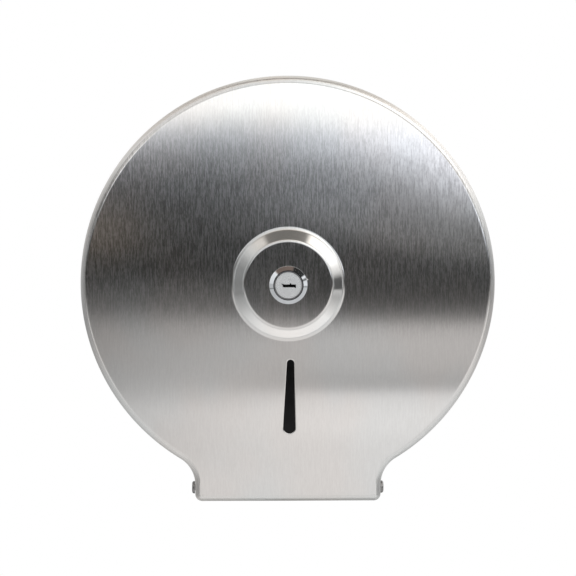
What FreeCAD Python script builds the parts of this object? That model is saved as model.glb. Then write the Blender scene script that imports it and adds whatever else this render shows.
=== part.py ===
import FreeCAD, Part
import math
import os
import re
import Sketcher

# Jumbo toilet roll dispenser: a round steel drum that hangs on the wall, a pressed front cover
# hinged at the neck, a spindle with a turning core sleeve, and a cam lock in the cover's boss.
# The origin is where the spindle's axis meets the wall. X runs to the viewer's right, Y into the
# wall and Z up, so a place "out" from the wall has a negative Y. All sizes are in millimetres.

SIZES = {
    # front cover and the outline that it shares with the drum
    "cover_radius": 137.5,
    "neck_width": 124,
    "neck_fillet": 21,
    "neck_length": 10.97,
    "neck_corner": 4.6,
    "cover_depth": 115,
    "sheet": 1,
    "edge_round": 4.5,
    "flange_depth": 12,
    "boss_base_radius": 36.7,
    "boss_top_radius": 29.5,
    "boss_height": 6.5,
    "boss_base_round": 3.8,
    "boss_top_round": 2.9,
    "lid_clearance": 0.8,
    # sight slot, narrow at the top, and its small sideways lean
    "slot_top_drop": 52.8,
    "slot_bottom_drop": 95.9,
    "slot_top_radius": 2.35,
    "slot_bottom_radius": 4.05,
    "slot_top_shift": 1.6,
    "slot_bottom_shift": 0.8,
    # hinge at the neck
    "hinge_behind": 12,
    "hinge_rise": 8,
    "hinge_ear_radius": 4.6,
    "hinge_shank_radius": 2,
    "hinge_head_radius": 4.2,
    "hinge_head_height": 1.9,
    "hinge_head_round": 1.4,
    "hinge_head_gap": 0.35,
    "recess_length": 4.4,
    "recess_width": 0.9,
    "recess_depth": 0.9,
    "bush_wall": 0.9,
    "bush_flange_radius": 3.7,
    "bush_flange_thickness": 0.5,
    "running_clearance": 0.08,
    "hinge_washer_radius": 4.5,
    "hinge_washer_thickness": 0.8,
    "hinge_nut_flats": 7,
    "hinge_nut_thickness": 3.2,
    "screw_end": 0.8,
    # drum
    "plate": 1.2,
    "band_front_gap": 1.8,
    "band_lift": 3.4,
    "band_corner_cut": 3.6,
    "mount_spacing_across": 140,
    "mount_spacing_up": 120,
    "mount_hole_radius": 3.25,
    # toothed strips at the paper outlet
    "strip_thickness": 1,
    "strip_height": 6,
    "strip_overhang": 1.2,
    "strip_start": 8,
    "strip_end_gap": 6.5,
    "tooth_pitch": 3,
    "tooth_height": 1.8,
    # spindle
    "spindle_flange_radius": 31,
    "spindle_flange_thickness": 2,
    "tube_radius": 19,
    "tube_wall": 1.5,
    "strike_gap": 1,
    "strike_radius": 20.6,
    "strike_thickness": 1.5,
    "strike_slot_height": 10.8,
    "rivet_circle": 26,
    "rivet_shank_radius": 1.6,
    "rivet_head_radius": 3,
    "rivet_head_height": 1.4,
    "rivet_head_round": 1.2,
    "rivet_hole_clearance": 0.05,
    # core sleeve that the roll's core rides on
    "sleeve_radius": 22,
    "sleeve_bore_clearance": 0.15,
    "sleeve_end_gap": 0.3,
    "sleeve_disc_radius": 69,
    "sleeve_disc_thickness": 2,
    "sleeve_disc_out": 5.2,
    "sleeve_lead_in": 1.2,
    # cam lock
    "bezel_radius": 12.6,
    "bezel_bore": 9.4,
    "bezel_height": 3,
    "bezel_skirt": 1,
    "bezel_land": 0.6,
    "bezel_nib_rise": 3.6,
    "bezel_nib_width": 1.8,
    "bezel_nib_reach": 1.1,
    "body_flange_radius": 11.5,
    "body_flange_thickness": 1,
    "bezel_seat_clearance": 0.1,
    "barrel_radius": 10,
    "barrel_length": 14,
    "barrel_hole_clearance": 0.1,
    "plug_radius": 8.6,
    "plug_clearance": 0.1,
    "plug_recess": 0.5,
    "plug_head_length": 5.5,
    "plug_stem_radius": 6.5,
    "plug_rear_gap": 0.3,
    "plug_neck_radius": 4.8,
    "key_slot_left": 3.8,
    "key_slot_right": 5,
    "key_slot_top": 0.6,
    "key_slot_bottom": 1.3,
    "key_slot_depth": 12,
    "key_ward_width": 0.9,
    "key_ward_shift": 1.4,
    "key_ward_height": 0.8,
    "key_tip_length": 1.1,
    "key_tip_height": 0.7,
    "cam_square": 6,
    "cam_square_clearance": 0.05,
    "cam_width": 9,
    "cam_reach": 14,
    "cam_heel": 5,
    "cam_thickness": 2,
    "cam_behind_strike": 1,
    "cam_slot_clearance": 1,
    "lock_washer_radius": 14,
    "lock_washer_thickness": 0.8,
    "lock_nut_flats": 25,
    "lock_nut_thickness": 3,
    "thread_clearance": 0.05,
    "cam_screw_radius": 2,
    "cam_screw_length": 6,
    "cam_screw_head_radius": 3.6,
    "cam_screw_head_height": 2.2,
    "cam_screw_head_round": 0.8,
    "cam_washer_radius": 4.4,
    "cam_washer_thickness": 0.8,
    # length by which every cutting shape runs past the material it cuts
    "overrun": 2,
}

doc = FreeCAD.newDocument("jumbo_roll_dispenser")
sheet = doc.addObject("Spreadsheet::Sheet", "Sizes")
for row, (alias, number) in enumerate(SIZES.items(), start=1):
    sheet.set(f"A{row}", alias)
    sheet.set(f"B{row}", str(number))
    sheet.setAlias(f"B{row}", alias)
doc.recompute()

# Places that several pieces share, each worked out from the sizes above.
DERIVED = {
    "neck_half": "(neck_width / 2)",
    "fillet_across": "(neck_half + neck_fillet)",
    "fillet_drop": "(sqrt(pow(cover_radius + neck_fillet; 2) - pow(fillet_across; 2)))",
    "base_drop": "(fillet_drop + neck_length)",
    "drum_inset": "(sheet + lid_clearance)",
    "hinge_out": "(cover_depth - hinge_behind)",
    "hinge_drop": "(base_drop - hinge_rise)",
    "boss_out": "(cover_depth + boss_height)",
    "band_front": "(cover_depth - sheet - band_front_gap)",
    "band_drop": "(base_drop - band_lift)",
    "drum_neck": "(neck_half - drum_inset)",
    "strip_length": "(hinge_out - hinge_washer_radius - strip_end_gap - strip_start)",
    "flange_out": "(plate + spindle_flange_thickness)",
    "barrel_back": "(boss_out - barrel_length)",
    "spindle_reach": "(barrel_back - strike_gap)",
    "strike_back": "(spindle_reach - strike_thickness)",
    "cam_front": "(strike_back - cam_behind_strike)",
    "cam_back": "(cam_front - cam_thickness)",
    "plug_front": "(boss_out + bezel_height - plug_recess)",
    "plug_back": "(barrel_back + plug_rear_gap)",
    "inner_boss": "(boss_out - sheet)",
    "screw_tip": "(drum_neck - sheet - hinge_washer_thickness - hinge_nut_thickness - screw_end)",
}


def formula(text):
    """Spells out derived places, then points every size name at its cell of the sheet."""
    for _ in DERIVED:
        text = re.sub(r"[a-z]\w+", lambda word: DERIVED.get(word.group(), word.group()), text)
    cells = {alias: "Sizes." + alias for alias in SIZES}
    return re.sub(r"[a-z]\w+", lambda word: cells.get(word.group(), word.group()), text)


def value(text):
    return float(sheet.evalExpression(formula(text)))


def bind(thing, **formulas):
    for name, text in formulas.items():
        thing.setExpression(name.replace("__", "."), formula(text))
    return thing


# Bodies, sketches and features

def new_body(label):
    body = doc.addObject("PartDesign::Body", label)
    body.Label = label
    return body


def new_sketch(body, name, plane="XZ_Plane", along="0"):
    """A sketch on one of the body's origin planes, moved by a formula along the plane's normal.
    On XZ_Plane the normal points out from the wall, on YZ_Plane to the viewer's right."""
    sketch = body.newObject("Sketcher::SketchObject", name)
    support = next(f for f in body.Origin.OriginFeatures if f.Role == plane)
    sketch.AttachmentSupport = [(support, "")]
    sketch.MapMode = "FlatFace"
    return bind(sketch, AttachmentOffset__Base__z=along)


def fix(sketch, kind, place, text):
    """Adds one dimension whose value is a formula."""
    number = sketch.addConstraint(Sketcher.Constraint(kind, *place, value(text)))
    sketch.setExpression(f"Constraints[{number}]", formula(text))


def draw_loop(sketch, corners):
    """A closed line through corners (x, y), each a pair of formulas. A corner may add an arc to
    the next corner as (x, y, centre x, centre y, radius, turn), where turn is 1 anticlockwise
    and -1 clockwise."""
    places = [FreeCAD.Vector(value(c[0]), value(c[1]), 0) for c in corners]
    ends = []
    for corner, start, end in zip(corners, places, places[1:] + places[:1]):
        if len(corner) == 2:
            ends.append((sketch.addGeometry(Part.LineSegment(start, end)), 1, 2))
            continue
        centre = FreeCAD.Vector(value(corner[2]), value(corner[3]), 0)
        circle = Part.Circle(centre, FreeCAD.Vector(0, 0, 1), value(corner[4]))
        angles = [math.atan2(p.y - centre.y, p.x - centre.x) for p in (start, end)]
        if corner[5] < 0:
            angles.reverse()
        first, last = (1, 2) if corner[5] > 0 else (2, 1)
        ends.append((sketch.addGeometry(Part.ArcOfCircle(circle, *angles)), first, last))
    for (this, _, last), (after, first, _) in zip(ends, ends[1:] + ends[:1]):
        sketch.addConstraint(Sketcher.Constraint("Coincident", this, last, after, first))
    for corner, (geometry, first, _) in zip(corners, ends):
        fix(sketch, "DistanceX", (geometry, first), corner[0])
        fix(sketch, "DistanceY", (geometry, first), corner[1])
        if len(corner) > 2:
            fix(sketch, "Radius", (geometry,), corner[4])


def draw_circle(sketch, across, up, radius):
    centre = FreeCAD.Vector(value(across), value(up), 0)
    circle = sketch.addGeometry(Part.Circle(centre, FreeCAD.Vector(0, 0, 1), value(radius)))
    fix(sketch, "DistanceX", (circle, 3), across)
    fix(sketch, "DistanceY", (circle, 3), up)
    fix(sketch, "Radius", (circle,), radius)


def draw_box(sketch, left, right, bottom, top):
    draw_loop(sketch, [(left, bottom), (right, bottom), (right, top), (left, top)])


def pad(body, sketch, length):
    feature = body.newObject("PartDesign::Pad", sketch.Name + "_pad")
    feature.Profile = sketch
    sketch.Visibility = False
    return bind(feature, Length=length)


def pocket(body, sketch, length, reverse=False):
    """Cuts the sketch against its normal, or along it where reverse is true."""
    doc.recompute()
    before = body.Tip.Shape.Volume
    feature = body.newObject("PartDesign::Pocket", sketch.Name + "_pocket")
    feature.Profile = sketch
    feature.Reversed = reverse
    bind(feature, Length=length)
    doc.recompute()
    if not feature.Shape.Volume < before:
        raise RuntimeError(f"{sketch.Name} cuts nothing")
    return feature


def revolve(body, sketch):
    """Turns a sketch on XY_Plane about the spindle's axis, which is the sketch's own V axis."""
    feature = body.newObject("PartDesign::Revolution", sketch.Name + "_turned")
    feature.Profile = sketch
    feature.ReferenceAxis = (sketch, ["V_Axis"])
    feature.Angle = 360
    return feature


def edges_where(shape, test):
    """Names of the edges whose every sampled point passes the test."""
    names = []
    for number, edge in enumerate(shape.Edges, start=1):
        if all(test(point) for point in edge.discretize(7)):
            names.append(f"Edge{number}")
    return names


def round_edges(body, radius, test):
    """Fillets the edges of the body's last feature that pass the test."""
    doc.recompute()
    solid = body.Tip
    names = edges_where(solid.Shape, test)
    if not names:
        raise RuntimeError(f"{body.Label} has no such edge to round")
    feature = body.newObject("PartDesign::Fillet", body.Name + "_round")
    feature.Base = (solid, names)
    return bind(feature, Radius=radius)


def close(a, b):
    return abs(a - b) < 1e-4


# Part primitives that lie along the spindle's axis or across the neck

OUT = FreeCAD.Rotation(FreeCAD.Vector(1, 0, 0), 90)
RIGHT = FreeCAD.Rotation(FreeCAD.Vector(0, 1, 0), 90)


def place(thing, rotation, across="0", out="0", up="0"):
    thing.Placement = FreeCAD.Placement(FreeCAD.Vector(), rotation)
    return bind(thing, Placement__Base__x=across, Placement__Base__y=f"-({out})", Placement__Base__z=up)


def rod(name, radius, start, length, across="0", up="0"):
    """A round bar that points out from the wall, from start and as long as length."""
    cylinder = bind(doc.addObject("Part::Cylinder", name), Radius=radius, Height=length)
    return place(cylinder, OUT, across, start, up)


def cross_rod(name, radius, left, length):
    """A round bar that points to the viewer's right, on the hinge's axis."""
    cylinder = bind(doc.addObject("Part::Cylinder", name), Radius=radius, Height=length)
    return place(cylinder, RIGHT, left, "hinge_out", "-hinge_drop")


def hexagon(name, flats, length):
    """A six-sided bar by its width across flats."""
    return bind(doc.addObject("Part::Prism", name), Circumradius=f"({flats}) / sqrt(3)", Height=length)


def block(name, left, right, near, far, bottom, top):
    """A box between two places in each direction; near and far are distances out from the wall."""
    box = bind(
        doc.addObject("Part::Box", name),
        Length=f"({right}) - ({left})",
        Width=f"({far}) - ({near})",
        Height=f"({top}) - ({bottom})",
    )
    return place(box, FreeCAD.Rotation(), left, far, bottom)


def cut(name, base, tool):
    feature = doc.addObject("Part::Cut", name)
    feature.Base = base
    feature.Tool = tool
    feature.Label = name
    return feature


def fuse(name, *shapes):
    feature = doc.addObject("Part::MultiFuse", name)
    feature.Shapes = list(shapes)
    feature.Label = name
    return feature


def group(name, *shapes):
    """Several separate solids under one name."""
    feature = doc.addObject("Part::Compound", name)
    feature.Links = list(shapes)
    feature.Label = name
    return feature


def round_part(name, base, radius, test):
    """Fillets the edges of a Part object that pass the test."""
    doc.recompute()
    feature = doc.addObject("Part::Fillet", name)
    feature.Base = base
    names = edges_where(base.Shape, test)
    if not names:
        raise RuntimeError(f"{base.Label} has no such edge to round")
    feature.Edges = [(int(n[4:]), value(radius), value(radius)) for n in names]
    feature.Label = name
    return feature


# The outline shared by the cover, the drum's band and the back plate

def draw_outline(sketch, inset, drop, corner=None):
    """A circle that runs through two hollow fillets into a straight neck. It lies inside the
    cover's own outline by inset and ends at drop below the axis, with rounded or square corners."""
    circle = f"(cover_radius - ({inset}))"
    hollow = f"(neck_fillet + ({inset}))"
    half = f"(neck_half - ({inset}))"
    share = f"({circle} / (cover_radius + neck_fillet))"
    touch_across = f"(fillet_across * {share})"
    touch_up = f"(-fillet_drop * {share})"
    corners = [
        (touch_across, touch_up, "0", "0", circle, 1),
        (f"-{touch_across}", touch_up, "-fillet_across", "-fillet_drop", hollow, -1),
    ]
    if corner is None:
        corners += [
            (f"-{half}", "-fillet_drop"),
            (f"-{half}", f"-({drop})"),
            (half, f"-({drop})"),
            (half, "-fillet_drop", "fillet_across", "-fillet_drop", hollow, -1),
        ]
    else:
        rise = f"({corner} - ({drop}))"
        corners += [
            (f"-{half}", "-fillet_drop"),
            (f"-{half}", rise, f"{corner} - {half}", rise, corner, 1),
            (f"{corner} - {half}", f"-({drop})"),
            (f"{half} - {corner}", f"-({drop})", f"{half} - {corner}", rise, corner, 1),
            (half, rise),
            (half, "-fillet_drop", "fillet_across", "-fillet_drop", hollow, -1),
        ]
    draw_loop(sketch, corners)


# Front cover: one pressed sheet with a rolled edge, a lock boss, a sight slot and two hinge ears

def make_front_cover():
    body = new_body("front_cover")
    tray = new_sketch(body, "cover_outline", along="cover_depth - flange_depth")
    draw_outline(tray, "0", "base_drop", "neck_corner")
    pad(body, tray, "flange_depth")

    boss = new_sketch(body, "boss_section", "XY_Plane")
    draw_loop(boss, [
        ("0", "sheet - cover_depth"),
        ("boss_base_radius", "sheet - cover_depth"),
        ("boss_base_radius", "-cover_depth"),
        ("boss_top_radius", "-boss_out"),
        ("0", "-boss_out"),
    ])
    revolve(body, boss)

    front, top = -value("cover_depth"), -value("boss_out")
    base_radius, top_radius = value("boss_base_radius"), value("boss_top_radius")

    def round_ring(size, out, radius):
        """Rounds the circle of this radius about the axis in the plane y = out."""
        round_edges(body, size, lambda p: close(p.y, out) and close(math.hypot(p.x, p.z), radius))

    def on_rim(point):
        return close(point.y, front) and not close(math.hypot(point.x, point.z), base_radius)

    round_edges(body, "edge_round", on_rim)
    round_ring("boss_base_round", front, base_radius)
    round_ring("boss_top_round", top, top_radius)

    doc.recompute()
    rear = -value("cover_depth - flange_depth")
    solid = body.Tip
    names = [f"Face{n}" for n, f in enumerate(solid.Shape.Faces, start=1)
             if close(f.BoundBox.YMin, rear) and close(f.BoundBox.YMax, rear)]
    hollow = body.newObject("PartDesign::Thickness", "cover_wall")
    hollow.Base = (solid, names)
    hollow.Reversed = True
    bind(hollow, Value="sheet")

    # the flange stops short across the neck, where the paper leaves, and keeps only a rolled lip
    lip = new_sketch(body, "outlet_gap", "XZ_Plane", "cover_depth - flange_depth - overrun")
    draw_box(lip, "-neck_width", "neck_width", "-base_drop - overrun", "neck_corner - base_drop")
    pocket(body, lip, "overrun + flange_depth - edge_round - sheet", reverse=True)

    # two round ears carry the hinge screws
    for side, left in (("left", "-neck_half"), ("right", "neck_half - sheet")):
        ear = new_sketch(body, f"{side}_ear", "YZ_Plane", left)
        draw_circle(ear, "-hinge_out", "-hinge_drop", "hinge_ear_radius")
        pad(body, ear, "sheet")
    holes = new_sketch(body, "hinge_holes", "YZ_Plane", "neck_half + overrun")
    draw_circle(holes, "-hinge_out", "-hinge_drop",
                "hinge_shank_radius + running_clearance + bush_wall + running_clearance")
    pocket(body, holes, "neck_width + overrun * 2")

    opening = new_sketch(body, "lock_hole", along="boss_out + overrun")
    draw_circle(opening, "0", "0", "barrel_radius + barrel_hole_clearance")
    pocket(body, opening, "overrun * 2 + sheet")

    # the slot's straight sides touch both end circles
    lean = "atan2(slot_top_shift - slot_bottom_shift; slot_bottom_drop - slot_top_drop)"
    taper = ("asin((slot_bottom_radius - slot_top_radius) / sqrt(pow(slot_bottom_drop - slot_top_drop; 2)"
             " + pow(slot_top_shift - slot_bottom_shift; 2)))")
    right_way = f"({taper} - {lean})"
    left_way = f"(180 deg - {taper} - {lean})"

    def touch(end, way):
        return (f"slot_{end}_shift + slot_{end}_radius * cos({way})",
                f"slot_{end}_radius * sin({way}) - slot_{end}_drop")

    def end_arc(end, way):
        """An arc of an end circle, which starts where way points."""
        return (*touch(end, way), f"slot_{end}_shift", f"-slot_{end}_drop", f"slot_{end}_radius", 1)

    slot = new_sketch(body, "sight_slot", along="cover_depth + overrun")
    draw_loop(slot, [
        end_arc("top", right_way),
        end_arc("top", "90"),
        touch("top", left_way),
        end_arc("bottom", left_way),
        end_arc("bottom", "270"),
        touch("bottom", right_way),
    ])
    pocket(body, slot, "overrun * 2 + sheet")
    return body


# Drum: back plate, side band and the toothed strips at its outlet

def make_back_plate():
    body = new_body("back_plate")
    face = new_sketch(body, "plate_outline")
    draw_outline(face, "drum_inset", "band_drop")
    pad(body, face, "plate")
    holes = new_sketch(body, "plate_holes", along="plate + overrun")
    for across in (-1, 1):
        for up in (-1, 1):
            draw_circle(holes, f"{across} * mount_spacing_across / 2", f"{up} * mount_spacing_up / 2",
                        "mount_hole_radius")
    for number in range(4):
        across, up = rivet_place(number)
        draw_circle(holes, across, up, "rivet_shank_radius + rivet_hole_clearance")
    pocket(body, holes, "plate + overrun * 2")
    return body


def make_side_band():
    body = new_body("side_band")
    outside = new_sketch(body, "band_outside", along="plate")
    draw_outline(outside, "drum_inset", "band_drop")
    pad(body, outside, "band_front - plate")
    inside = new_sketch(body, "band_inside", along="plate - overrun")
    draw_outline(inside, "drum_inset + sheet", "band_drop + overrun")
    pocket(body, inside, "band_front - plate + overrun * 2", reverse=True)
    holes = new_sketch(body, "band_hinge_holes", "YZ_Plane", "neck_half")
    draw_circle(holes, "-hinge_out", "-hinge_drop", "hinge_shank_radius + running_clearance")
    pocket(body, holes, "neck_width")

    # the neck's two front corners are cut off, so that the swinging cover clears them
    corners = new_sketch(body, "band_corners", "YZ_Plane", "neck_half")
    draw_loop(corners, [
        ("-band_front - overrun", "-band_drop - overrun"),
        ("band_corner_cut + overrun - band_front", "-band_drop - overrun"),
        ("-band_front - overrun", "band_corner_cut + overrun - band_drop"),
    ])
    pocket(body, corners, "neck_width")
    return body


def make_tear_strip(side, left):
    """A toothed strip against the inside of the neck, its teeth just below the band's edge."""
    body = new_body(f"tear_strip_{side}")
    tips = "(-band_drop - strip_overhang)"
    bar = new_sketch(body, f"strip_{side}", "YZ_Plane", left)
    draw_box(bar, "-strip_start - strip_length", "-strip_start", tips, f"{tips} + strip_height")
    pad(body, bar, "strip_thickness")
    notch = new_sketch(body, f"notch_{side}", "YZ_Plane", f"{left} + strip_thickness + overrun")
    low = f"{tips} - overrun"
    half = "(tooth_pitch / 2 * (tooth_height + overrun) / tooth_height)"
    middle = "(-strip_start - tooth_pitch)"
    draw_loop(notch, [
        (f"{middle} - {half}", low),
        (f"{middle} + {half}", low),
        (middle, f"{tips} + tooth_height"),
    ])
    gap = pocket(body, notch, "strip_thickness + overrun * 2")
    row_of_teeth = body.newObject("PartDesign::LinearPattern", f"teeth_{side}")
    row_of_teeth.Originals = [gap]
    row_of_teeth.Direction = (notch, ["H_Axis"])
    row_of_teeth.Reversed = True
    bind(row_of_teeth,
         Length="tooth_pitch * (floor(strip_length / tooth_pitch) - 2)",
         Occurrences="floor(strip_length / tooth_pitch) - 1")
    body.Tip = row_of_teeth
    return body


# Spindle: a riveted flange, a tube welded on it, and the slotted plate that the cam hooks behind

def rivet_place(number):
    angle = 45 + 90 * number
    return f"rivet_circle * cos({angle})", f"rivet_circle * sin({angle})"


def make_spindle_flange():
    disc = rod("flange_disc", "spindle_flange_radius", "plate", "spindle_flange_thickness")
    holes = []
    for number in range(4):
        across, up = rivet_place(number)
        holes.append(rod(f"flange_hole_{number}", "rivet_shank_radius + rivet_hole_clearance",
                         "plate - overrun", "spindle_flange_thickness + overrun * 2", across, up))
    return cut("spindle_flange", disc, fuse("flange_holes", *holes))


def make_spindle_rivets():
    rivets = []
    for number in range(4):
        across, up = rivet_place(number)
        shank = rod(f"rivet_shank_{number}", "rivet_shank_radius", "0", "flange_out", across, up)
        head = rod(f"rivet_head_{number}", "rivet_head_radius", "flange_out", "rivet_head_height", across, up)
        doc.recompute()
        crown = -value("flange_out + rivet_head_height")
        domed = round_part(f"rivet_dome_{number}", head, "rivet_head_round", lambda p: close(p.y, crown))
        rivets.append(fuse(f"rivet_{number}", shank, domed))
    return group("spindle_rivets", *rivets)


def make_spindle_tube():
    outside = rod("tube_outside", "tube_radius", "flange_out", "strike_back - flange_out")
    bore = rod("tube_bore", "tube_radius - tube_wall", "flange_out - overrun",
               "strike_back - flange_out + overrun * 2")
    return cut("spindle_tube", outside, bore)


def make_lock_strike():
    disc = rod("strike_disc", "strike_radius", "strike_back", "strike_thickness")
    slot = block("strike_slot", "-cam_reach - cam_slot_clearance", "cam_heel + cam_slot_clearance",
                 "strike_back - overrun", "spindle_reach + overrun",
                 "-strike_slot_height / 2", "strike_slot_height / 2")
    return cut("lock_strike", disc, slot)


def make_core_sleeve():
    """The sleeve turns on the tube, with a wide disc behind that keeps the roll off the drum."""
    body = new_body("core_sleeve")
    bore = "(tube_radius + sleeve_bore_clearance)"
    rear = "(flange_out + sleeve_end_gap)"
    front = "(strike_back - sleeve_end_gap)"
    section = new_sketch(body, "sleeve_section", "XY_Plane")
    draw_loop(section, [
        (bore, f"-{rear}"),
        (bore, f"-{front}"),
        ("sleeve_radius - sleeve_lead_in", f"-{front}"),
        ("sleeve_radius", f"sleeve_lead_in - {front}"),
        ("sleeve_radius", "-sleeve_disc_out - sleeve_disc_thickness"),
        ("sleeve_disc_radius", "-sleeve_disc_out - sleeve_disc_thickness"),
        ("sleeve_disc_radius", "-sleeve_disc_out"),
        ("sleeve_radius", "-sleeve_disc_out"),
        ("sleeve_radius", f"-{rear}"),
    ])
    revolve(body, section)
    return body


# Hinge: screws through the cover's ears and the drum's neck, on flanged bushes

def on_both_sides(name, make):
    """One piece for each side of the neck: make gives the right-hand one, which is mirrored."""
    right = make()
    left = doc.addObject("Part::Mirroring", f"{name}_left")
    left.Source = right
    left.Normal = FreeCAD.Vector(1, 0, 0)
    return group(name, right, left)


def make_hinge_screw():
    under_head = "(neck_half + hinge_head_gap)"
    head = cross_rod("hinge_head", "hinge_head_radius", under_head, "hinge_head_height")
    doc.recompute()
    crown = value("neck_half + hinge_head_gap + hinge_head_height")
    domed = round_part("hinge_head_dome", head, "hinge_head_round", lambda p: close(p.x, crown))
    shank = cross_rod("hinge_shank", "hinge_shank_radius", "screw_tip", f"{under_head} - screw_tip")
    floor_of_recess = f"({under_head} + hinge_head_height - recess_depth)"
    past_head = f"{under_head} + hinge_head_height + overrun"
    upright = block("recess_upright", floor_of_recess, past_head,
                    "hinge_out - recess_width / 2", "hinge_out + recess_width / 2",
                    "-hinge_drop - recess_length / 2", "-hinge_drop + recess_length / 2")
    level = block("recess_level", floor_of_recess, past_head,
                  "hinge_out - recess_length / 2", "hinge_out + recess_length / 2",
                  "-hinge_drop - recess_width / 2", "-hinge_drop + recess_width / 2")
    return cut("hinge_screw", fuse("hinge_screw_blank", domed, shank), fuse("hinge_recess", upright, level))


def make_hinge_bush():
    flange = cross_rod("bush_flange", "bush_flange_radius", "neck_half - sheet - bush_flange_thickness",
                       "bush_flange_thickness")
    barrel = cross_rod("bush_barrel", "hinge_shank_radius + running_clearance + bush_wall",
                       "neck_half - sheet", "sheet")
    bore = cross_rod("bush_bore", "hinge_shank_radius + running_clearance",
                     "neck_half - sheet - bush_flange_thickness - overrun", "sheet + overrun * 3")
    return cut("hinge_bush", fuse("bush_blank", flange, barrel), bore)


def make_hinge_washer():
    near = "(drum_neck - sheet - hinge_washer_thickness)"
    ring = cross_rod("hinge_washer_ring", "hinge_washer_radius", near, "hinge_washer_thickness")
    hole = cross_rod("hinge_washer_hole", "hinge_shank_radius + running_clearance",
                     f"{near} - overrun", "hinge_washer_thickness + overrun * 2")
    return cut("hinge_washer", ring, hole)


def make_hinge_nut():
    near = "(drum_neck - sheet - hinge_washer_thickness - hinge_nut_thickness)"
    nut = hexagon("hinge_nut_blank", "hinge_nut_flats", "hinge_nut_thickness")
    place(nut, RIGHT, near, "hinge_out", "-hinge_drop")
    hole = cross_rod("hinge_nut_hole", "hinge_shank_radius + thread_clearance",
                     f"{near} - overrun", "hinge_nut_thickness + overrun * 2")
    return cut("hinge_nut", nut, hole)


# Cam lock: bezel, body, washer and nut stay with the cover; plug, cam, washer and screw turn

def make_lock_bezel():
    body = new_body("lock_bezel")
    seat = "(body_flange_radius + bezel_seat_clearance)"
    ceiling = "(boss_out + body_flange_thickness + bezel_seat_clearance)"
    front = "(boss_out + bezel_height)"
    section = new_sketch(body, "bezel_section", "XY_Plane")
    draw_loop(section, [
        ("bezel_radius", "-boss_out"),
        ("bezel_radius", "-boss_out - bezel_skirt"),
        ("bezel_bore + bezel_land", f"-{front}"),
        ("bezel_bore", f"-{front}"),
        ("bezel_bore", f"-{ceiling}"),
        (seat, f"-{ceiling}"),
        (seat, "-boss_out"),
    ])
    revolve(body, section)

    # a small pointed nib at the rim marks where the key turns to
    upper = "(bezel_nib_rise + bezel_nib_width / 2)"
    root = f"(sqrt(pow(bezel_radius; 2) - pow({upper}; 2)))"
    tip = "(sqrt(pow(bezel_radius + bezel_nib_reach; 2) - pow(bezel_nib_rise; 2)))"
    nib = new_sketch(body, "bezel_nib", along="boss_out")
    draw_loop(nib, [(root, "bezel_nib_rise - bezel_nib_width / 2"), (tip, "bezel_nib_rise"), (root, upper)])
    pad(body, nib, "bezel_skirt")
    return body


def make_lock_body():
    body = new_body("lock_body")
    rim = "(boss_out + body_flange_thickness)"
    step = "(plug_front - plug_head_length - plug_clearance)"
    section = new_sketch(body, "lock_body_section", "XY_Plane")
    draw_loop(section, [
        ("plug_radius + plug_clearance", f"-{rim}"),
        ("body_flange_radius", f"-{rim}"),
        ("body_flange_radius", "-boss_out"),
        ("barrel_radius", "-boss_out"),
        ("barrel_radius", "-barrel_back"),
        ("plug_stem_radius + plug_clearance", "-barrel_back"),
        ("plug_stem_radius + plug_clearance", f"-{step}"),
        ("plug_radius + plug_clearance", f"-{step}"),
    ])
    revolve(body, section)
    return body


def make_lock_washer():
    ring = rod("lock_washer_ring", "lock_washer_radius", "inner_boss - lock_washer_thickness",
               "lock_washer_thickness")
    hole = rod("lock_washer_hole", "barrel_radius + thread_clearance",
               "inner_boss - lock_washer_thickness - overrun", "lock_washer_thickness + overrun * 2")
    return cut("lock_washer", ring, hole)


def make_lock_nut():
    near = "(inner_boss - lock_washer_thickness - lock_nut_thickness)"
    nut = hexagon("lock_nut_blank", "lock_nut_flats", "lock_nut_thickness")
    place(nut, OUT, "0", near, "0")
    hole = rod("lock_nut_hole", "barrel_radius + thread_clearance", f"{near} - overrun",
               "lock_nut_thickness + overrun * 2")
    return cut("lock_nut", nut, hole)


def make_lock_plug():
    """A stepped cylinder with a flat key slot in front and a square tail for the cam."""
    body = new_body("lock_plug")
    section = new_sketch(body, "plug_section", "XY_Plane")
    draw_loop(section, [
        ("0", "-plug_front"),
        ("plug_radius", "-plug_front"),
        ("plug_radius", "plug_head_length - plug_front"),
        ("plug_stem_radius", "plug_head_length - plug_front"),
        ("plug_stem_radius", "-plug_back"),
        ("plug_neck_radius", "-plug_back"),
        ("plug_neck_radius", "-cam_front"),
        ("0", "-cam_front"),
    ])
    revolve(body, section)
    tail = new_sketch(body, "plug_tail", along="cam_back")
    draw_box(tail, "-cam_square / 2", "cam_square / 2", "-cam_square / 2", "cam_square / 2")
    pad(body, tail, "cam_thickness")
    key_way = new_sketch(body, "key_way", along="plug_front + overrun")
    ward_right = "(key_ward_shift + key_ward_width / 2)"
    foot_left = "(key_slot_right - key_ward_width)"
    draw_loop(key_way, [
        ("-key_slot_left", "-key_slot_bottom"),
        (foot_left, "-key_slot_bottom"),
        (foot_left, "-key_slot_bottom - key_ward_height / 2"),
        ("key_slot_right", "-key_slot_bottom - key_ward_height / 2"),
        ("key_slot_right", "key_slot_top"),
        (ward_right, "key_slot_top"),
        (ward_right, "key_slot_top + key_ward_height"),
        ("key_ward_shift - key_ward_width / 2", "key_slot_top + key_ward_height"),
        ("key_ward_shift - key_ward_width / 2", "key_slot_top"),
        ("key_tip_length - key_slot_left", "key_slot_top"),
        ("-key_slot_left - key_tip_length", "key_slot_top + key_tip_height"),
        ("-key_slot_left", "0"),
    ])
    pocket(body, key_way, "key_slot_depth + overrun")
    screw_hole = new_sketch(body, "plug_screw_hole", along="cam_back - overrun")
    draw_circle(screw_hole, "0", "0", "cam_screw_radius + thread_clearance")
    depth = "cam_screw_length - cam_washer_thickness + thread_clearance"
    pocket(body, screw_hole, f"overrun + {depth}", reverse=True)
    return body


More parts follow.
